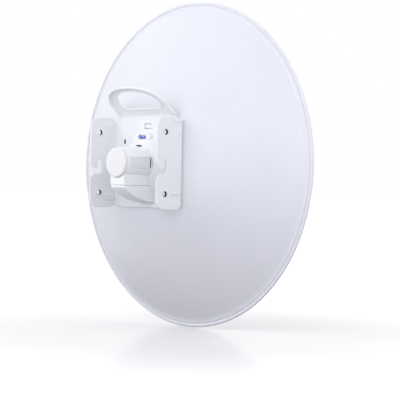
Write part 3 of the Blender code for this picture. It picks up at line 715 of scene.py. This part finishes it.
# the barrel turned, with a slight taper; over the arms' angles its radius falls to a flat floor
def makeBarrel():
    h = housing
    plain = np.linspace(-np.pi, np.pi, h["steps"], endpoint=False)
    sides = [a + b for a in (-h["armAngle"], h["armAngle"]) for b in (-h["angleStep"], h["angleStep"])]
    sides = np.concatenate([sides, np.add(sides, np.pi)])
    angle = np.sort(np.concatenate([plain, (sides + np.pi) % (2 * np.pi) - np.pi]))

    def shape(radius, back, angle):
        near = np.abs((angle + quarterTurn) % np.pi - quarterTurn) < h["armAngle"]
        flat = np.where(back > h["armStart"], h["armFloor"], h["armFace"])
        flat = flat / np.maximum(np.abs(np.cos(angle)), 0.5)
        return np.where(near & (back < h["armEnd"]), np.minimum(radius, flat), radius)

    def radiusAt(back):
        taper = (h["rootRadius"] - h["endRadius"]) / (h["endBack"] - h["rootBack"])
        return h["endRadius"] + taper * (h["endBack"] - back)

    outline = roundedOutline([(0, h["endBack"], 0), (radiusAt(h["endBack"]), h["endBack"], h["endCorner"]),
                              (radiusAt(h["rootBack"]), h["rootBack"], 0),
                              (h["rootRadius"], h["frontBack"], h["frontCorner"]), (0, h["frontBack"], 0)], 4)
    step = h["backStep"]
    rings = [back + shift for back in (h["armEnd"], h["armStart"]) for shift in (step, -step)]
    rings += [h["armStart"] + h["armGap"], *np.linspace(*h["rings"])]
    profile = np.concatenate([outline, [(radiusAt(back), back) for back in rings]])
    profile = profile[np.argsort(-np.round(profile[:, 1], 6), kind="stable")]
    points, faces = turnedMesh(profile, angle, shape)
    barrel = addPiece("housingBarrel", points, faces, paint["housingPlastic"],
                      ["radio_housing"])

    # the narrow gap in front of each arm is painted near black, as painted shade
    def inGap(x, back, z):
        along = (back > h["armStart"] - 0.02) & (back < h["armStart"] + h["armGap"])
        return along & within(x, z, (0, 0), (h["armFace"] - 0.05, h["gapHalf"]))

    shadeFaces(barrel, inGap)


# a block with its outline in the back and height plane, x from one side to the other
def sideBlock(outline, x, step, half, edge, arcSteps=3):
    flipped = np.array(outline, float) * (-1, 1)
    low, high = flipped.min(0) - 0.5, flipped.max(0) + 0.5
    along, up = (lines((low[k], step), (high[k], 1)) for k in (0, 1))

    def surface(a, b):
        return toFrame(x + 0 * a, -a, b)

    def distance(a, b):
        return outlineDistance(a, b, flipped)

    return sheetMesh(distance, surface, along, up, half, edge, arcSteps)


# a block with its outline in the x and height plane, from front to rear
def rearBlock(distance, across, up, front, rear, edge, arcSteps=3):
    def surface(a, b):
        return toFrame(a, (front + rear) / 2 + 0 * a, b)

    return sheetMesh(distance, surface, across, up, (rear - front) / 2, edge, arcSteps)


# a turned piece from its corners (radius, back, corner radius)
def addTurned(name, part, finish, node):
    points, faces = turnedMesh(roundedOutline(part["corners"], part["arcSteps"]), fullTurn(part["steps"]))
    addPiece(name, points, faces, paint[finish], [node])


# cuts a turned room out of a piece with an exact Boolean, and keeps the result as its mesh
def cutRoom(piece, profile, steps):
    points, faces = turnedMesh(profile, fullTurn(steps))
    mesh = bpy.data.meshes.new("room")
    mesh.from_pydata(points.tolist(), [], [tuple(row) for f in faces for row in f.tolist()])
    room = bpy.data.objects.new("room", mesh)
    bpy.context.scene.collection.objects.link(room)
    cut = piece.modifiers.new("cut", "BOOLEAN")
    cut.operation = "DIFFERENCE"
    cut.object = room
    cut.solver = "EXACT"
    bpy.context.view_layer.update()
    result = bpy.data.meshes.new_from_object(piece.evaluated_get(bpy.context.evaluated_depsgraph_get()))
    piece.modifiers.clear()
    piece.data = result
    result.name = piece.name
    result.shade_smooth()
    result.set_sharp_from_angle(angle=sharpEdge)
    bpy.data.objects.remove(room, do_unlink=True)


# square body under the barrel, with room for the ring and the cap
def makePort():
    h = housing
    body = roundedOutline([(87.2, h["portTop"], 0), (h["portBack"], h["portTop"], 0),
                           (h["portBack"], h["parting"], 0.4), (85.6, h["parting"], 0), (87.2, -24.5, 0)])
    points, faces = sideBlock(body, 0, 0.8, h["portHalf"], 0.5)
    port = addPiece("portBody", points, faces, paint["housingPlastic"])
    rear, front, radius = h["roomRear"], h["roomFront"], h["roomRadius"]
    cutRoom(port, [(0, rear), (radius, rear), (radius, front), (0, front)], 96)


def makeArms():
    h = housing
    start, end, half = h["armStart"] + h["armGap"], h["armEnd"] - 0.25, h["armHalf"]
    arm = roundedOutline([(start, -half, 1.2), (end, -half, 0.3), (end, half, 0.3), (start, half, 1.2)])
    for side in (-1, 1):
        name = "right" if side > 0 else "left"
        points, faces = sideBlock(arm, side * h["armX"], 0.8, h["armThick"], 0.25)
        addPiece(name + "Arm", points, faces, paint["coverPlastic"], ["latch_arm_" + name])


# the cover's underside as (back, height), where a cubic runs closest to these points
underside = {
    "through": [(127.5, -31.5), (118.8, -37.3), (109.7, -42.3), (98.3, -46.2), (86.6, -48.8), (77.8, -49.6)],
    "from": 127.2, "to": 76.9, "steps": 40, "rearLow": -29.4, "front": [(76.9, -43.4), (78.4, -39.5)],
    "frontTop": 85.4,
}


def makeCover():
    top = housing["parting"] - housing["gap"]
    through = np.array(underside["through"])
    curve = np.polyfit(through[:, 0], through[:, 1], 3)
    back = np.linspace(underside["from"], underside["to"], underside["steps"])
    outline = np.concatenate([[(housing["portBack"], top), (housing["portBack"], underside["rearLow"])],
                              np.stack([back, np.polyval(curve, back)], axis=1),
                              underside["front"], [(underside["frontTop"], top)]])
    points, faces = sideBlock(outline, 0, 0.7, housing["portHalf"], 0.9, 4)
    addPiece("portCover", points, faces, paint["housingPlastic"], ["port_cover"])


endRing = {"steps": 128, "arcSteps": 4,
           "corners": [(12.0, 127.5, 0), (18.8, 127.5, 0.4), (18.8, 125.3, 0.4), (12.0, 125.3, 0)]}
endCap = {"steps": 128, "arcSteps": 5,
          "corners": [(0, 132.5, 0), (17.0, 132.5, 1.6), (18.3, 131.6, 0.6), (18.3, 127.8, 0.3),
                      (11.7, 127.8, 0), (11.7, 125.3, 0), (0, 125.3, 0)]}

makeBarrel()
makePort()
makeArms()
makeCover()
addTurned("endRing", endRing, "housingPlastic", "cap_ring")
addTurned("endCap", endCap, "coverPlastic", "barrel_cap")
print("stage 5: housing made")


# Spirit level in the dome

level = {
    "height": 33.1, "front": 76.2, "floor": 81.6, "rear": 85.8, "half": (12.2, 3.0), "corner": 2.99,
    "pocketX": -3.5, "pocketHalf": (7.5, 2.1), "pocketCorner": 1.9,
    "vialHalf": (7.15, 1.8), "vialCorner": 1.75, "vialFront": 81.8, "vialRear": 85.0,
    "cell": 0.45, "gridHalf": (13, 4), "baseEdge": 0.2, "frameEdge": 0.3, "vialEdge": 1.3,
}
# an ellipsoid: its middle as x and back, and its radii along x, back and z
bubble = {"middle": (-1.6, 84.55), "radii": (1.9, 0.62, 0.95), "rings": 15, "steps": 32}


def makeLevel():
    n = level
    centre, pocketCentre = (0, n["height"]), (n["pocketX"], n["height"])
    gridX, gridZ = n["gridHalf"]
    across = lines((-gridX, n["cell"]), (gridX, 1))
    up = lines((n["height"] - gridZ, n["cell"]), (n["height"] + gridZ, 1))

    def capsule(u, v):
        return boxDistance(u, v, centre, n["half"], n["corner"])

    def openFrame(u, v):
        return np.maximum(capsule(u, v), -boxDistance(u, v, pocketCentre, n["pocketHalf"], n["pocketCorner"]))

    def vial(u, v):
        return boxDistance(u, v, pocketCentre, n["vialHalf"], n["vialCorner"])

    points, faces = rearBlock(capsule, across, up, n["front"], n["floor"], n["baseEdge"])
    addPiece("levelBase", points, faces, paint["housingPlastic"], ["level_carrier"])
    points, faces = rearBlock(openFrame, across, up, n["floor"], n["rear"], n["frameEdge"])
    addPiece("levelFrame", points, faces, paint["housingPlastic"])
    points, faces = rearBlock(vial, across, up, n["vialFront"], n["vialRear"], n["vialEdge"], 5)
    addPiece("levelVial", points, faces, paint["vialLiquid"], ["level_vial"])


# a half circle from the rear pole to the front one, turned, then stretched to the bubble's radii
def makeBubble():
    (middleX, middleBack), (wide, deep, high) = bubble["middle"], bubble["radii"]
    tip = np.linspace(-quarterTurn, quarterTurn, bubble["rings"])
    profile = np.stack([np.cos(tip), middleBack - deep * np.sin(tip)], axis=1)
    profile[[0, -1], 0] = 0

    def lay(a, back, c):
        return toFrame(middleX + wide * np.asarray(a), back, level["height"] + high * np.asarray(c))

    points, faces = turnedMesh(profile, fullTurn(bubble["steps"]), lay=lay)
    addPiece("levelBubble", points, faces, paint["bubble"])


makeLevel()
makeBubble()
print("stage 6: level made")


# Feed in front of the bowl: collar, tube, small reflector and its cover

feedCollar = {"steps": 128, "arcSteps": 5,
              "corners": [(18.3, 73.1, 0), (30.0, 73.1, 0.3), (31.5, 72.1, 0.5), (30.4, 69.7, 0.8),
                          (18.3, 69.7, 0.3)]}
feedTube = {"steps": 112, "arcSteps": 6,
            "corners": [(0, 73.1, 0), (18.0, 73.1, 0.2), (18.0, 65.7, 6), (15.6, 51.7, 8), (15.0, 0.0, 4),
                        (15.0, -56.0, 0.5), (0, -56.0, 0)]}
subReflector = {"steps": 128, "arcSteps": 6,
                "corners": [(0, -56.3, 0), (10.0, -56.3, 0.4), (12.0, -64.0, 4), (20.0, -70.0, 6),
                            (33.0, -74.5, 0.6), (33.0, -76.5, 0.3), (0, -76.5, 0)]}
feedCap = {"steps": 144, "arcSteps": 7,
           "corners": [(0, -76.8, 0), (33.3, -76.8, 0.1), (33.3, -72.0, 0.2), (35.0, -72.0, 0.6),
                       (35.0, -82.0, 5), (29.0, -90.5, 6), (20.0, -94.5, 8), (0, -96.0, 0)]}

addTurned("feedCollar", feedCollar, "feedPlastic", "feed_collar")
addTurned("feedTube", feedTube, "feedPlastic", "feed_tube")
addTurned("subReflector", subReflector, "bareMetal", "sub_reflector")
addTurned("feedCap", feedCap, "feedPlastic", "feed_cap")
print("stage 7: feed made")

for node in ("release_tab_left", "release_tab_right"):
    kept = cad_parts[node]
    kept.data.materials.clear()
    kept.data.materials.append(paint["housingPlastic"])
print("stage 8: kept nodes finished")


# Stage, light and camera; lengths here are in metres

# near and far are lengths added to the floor's depth under the origin
stage = {
    "floorZ": -0.2105, "size": 14.0, "seen": (0.98, 0.98, 0.985), "rough": 0.13, "ior": 1.05,
    "nearBounce": (0.30, 0.30, 0.32), "farBounce": (0.90, 0.92, 0.96),
    "nearGlow": (0.03, 0.03, 0.03), "farGlow": (0.30, 0.30, 0.30), "near": 0.04, "far": 0.50,
}


# Pale floor. It is paler to the camera than to the dish, so that little light bounces up under the dish,
# and both its bounce and its glow grow away from the dish.
def makeStage():
    s = stage
    size, floorZ = s["size"], s["floorZ"]
    mesh = bpy.data.meshes.new("floor")
    corners = [(-size, -size, floorZ), (size, -size, floorZ), (size, size, floorZ), (-size, size, floorZ)]
    mesh.from_pydata(corners, [], [(0, 1, 2, 3)])
    floor = bpy.data.objects.new("floor", mesh)
    bpy.context.scene.collection.objects.link(floor)
    pale = bpy.data.materials.new("paleFloor")
    pale.use_nodes = True
    tree = pale.node_tree
    shader = tree.nodes["Principled BSDF"]
    path = addNode(tree, "LightPath")
    place = addNode(tree, "TexCoord")
    distance = addNode(tree, "VectorMath", operation="LENGTH")
    away = addNode(tree, "MapRange", {"From Min": s["near"] - floorZ, "From Max": s["far"] - floorZ},
                   interpolation_type="SMOOTHSTEP")
    wire(tree, (place, "Object", distance, 0), (distance, "Value", away, "Value"))

    # from colour a to colour b as the factor rises; either may be a fixed colour or another blend
    def blend(a, b, node, factor):
        mix = addNode(tree, "Mix", data_type="RGBA")
        for entry, colour in (("A", a), ("B", b)):
            if isinstance(colour, tuple):
                mix.inputs[entry].default_value = (*colour, 1)
            else:
                wire(tree, (colour, "Result", mix, entry))
        wire(tree, (node, factor, mix, "Factor"))
        return mix

    bounce = blend(s["nearBounce"], s["farBounce"], away, "Result")
    glow = blend(s["nearGlow"], s["farGlow"], away, "Result")
    wire(tree, (blend(bounce, s["seen"], path, "Is Camera Ray"), "Result", shader, "Base Color"),
         (blend((0, 0, 0), glow, path, "Is Camera Ray"), "Result", shader, "Emission Color"))
    setSockets(shader, {"Roughness": s["rough"], "IOR": s["ior"], "Emission Strength": 1.0})
    mesh.materials.append(pale)


# sky brightness by the sine of the height above the horizon
sky = {"stops": [(0.0, (0.08, 0.08, 0.09)), (0.42, (0.97, 0.97, 0.98)), (0.9, (0.28, 0.28, 0.29))],
       "strength": 1.43}
lampAim = (-0.06, 0.05, 0.0)
lamps = {
    "straightBehind": {"place": (-0.3, -2.6, 0.7), "size": (1.4, 1.4), "power": 13.8},
    "cameraSide": {"place": (1.6, -1.9, 0.55), "size": (1.6, 1.6), "power": 15.2},
    "leftBehind": {"place": (-1.5, -2.0, 0.9), "size": (1.6, 1.6), "power": 2.5},
    "leftLow": {"place": (-2.3, -1.3, 0.12), "size": (1.6, 0.5), "power": 4.0},
    "rightSide": {"place": (2.6, -0.4, 0.7), "size": (1.4, 1.4), "power": 3.4},
    "front": {"place": (0.4, 2.6, 1.3), "size": (2.0, 2.0), "power": 9, "shadow": False},
}


# a sky that lights the floor and the dish, but is plain white to the camera and in reflections
def makeSky():
    world = bpy.data.worlds.new("studio")
    world.use_nodes = True
    tree = world.node_tree
    place = addNode(tree, "TexCoord")
    split = addNode(tree, "SeparateXYZ")
    tint = addNode(tree, "ValToRGB")
    tint.color_ramp.elements.new(0.5)
    for stop, (height, colour) in zip(tint.color_ramp.elements, sky["stops"]):
        stop.position = height
        stop.color = (*colour, 1)
    white = addNode(tree, "Background", {"Color": (1, 1, 1, 1)})
    lit = tree.nodes["Background"]
    lit.inputs["Strength"].default_value = sky["strength"]
    path = addNode(tree, "LightPath")
    either = addNode(tree, "Math", operation="MAXIMUM")
    choose = addNode(tree, "MixShader")
    output = tree.nodes["World Output"]
    wire(tree, (place, "Generated", split, "Vector"), (split, "Z", tint, "Fac"),
               (tint, "Color", lit, "Color"), (path, "Is Camera Ray", either, 0),
               (path, "Is Glossy Ray", either, 1), (either, "Value", choose, "Fac"),
               (lit, "Background", choose, 1), (white, "Background", choose, 2),
               (choose, "Shader", output, "Surface"))
    bpy.context.scene.world = world


def addLamp(name, settings):
    light = bpy.data.lights.new(name, "AREA")
    light.shape = "RECTANGLE"
    light.size, light.size_y = settings["size"]
    light.energy = settings["power"]
    light.use_shadow = settings.get("shadow", True)
    lamp = bpy.data.objects.new(name, light)
    bpy.context.scene.collection.objects.link(lamp)
    lamp.location = settings["place"]
    lamp.rotation_euler = (Vector(lampAim) - Vector(settings["place"])).to_track_quat("-Z", "Y").to_euler()


# angles in degrees, offset in millimetres, focal length and centre in pixels of a square frame
camera = {"yaw": 45.529, "pitch": 0.395, "roll": -1.161, "offset": (-10.363, 2.065, -2107.319),
          "focal": 1625.673, "centre": (200, 166), "frame": 400, "sensor": 36, "clipEnd": 50}


# the camera's place is the offset carried back by its own turn: yaw, then pitch, then roll
def makeCamera():
    yaw, pitch, roll = (math.radians(camera[k]) for k in ("yaw", "pitch", "roll"))
    turn = Matrix.Rotation(yaw, 3, "Z") @ Matrix.Rotation(quarterTurn + pitch, 3, "X")
    turn = turn @ Matrix.Rotation(-roll, 3, "Z")
    place = turn @ -Vector(camera["offset"]) + Vector((axisX, rimY, 0))
    lens = bpy.data.cameras.new("camera")
    eye = bpy.data.objects.new("camera", lens)
    bpy.context.scene.collection.objects.link(eye)
    eye.matrix_world = Matrix.Translation(place * mm) @ turn.to_4x4()
    lens.sensor_width = camera["sensor"]
    lens.lens = camera["focal"] / camera["frame"] * camera["sensor"]
    lens.shift_y = (camera["centre"][1] - camera["frame"] / 2) / camera["frame"]
    lens.clip_end = camera["clipEnd"]
    bpy.context.scene.camera = eye


makeStage()
makeSky()
for name, settings in lamps.items():
    addLamp(name, settings)
makeCamera()
bpy.context.scene.view_settings.view_transform = "Standard"
print("stage 9: stage, light and camera set")
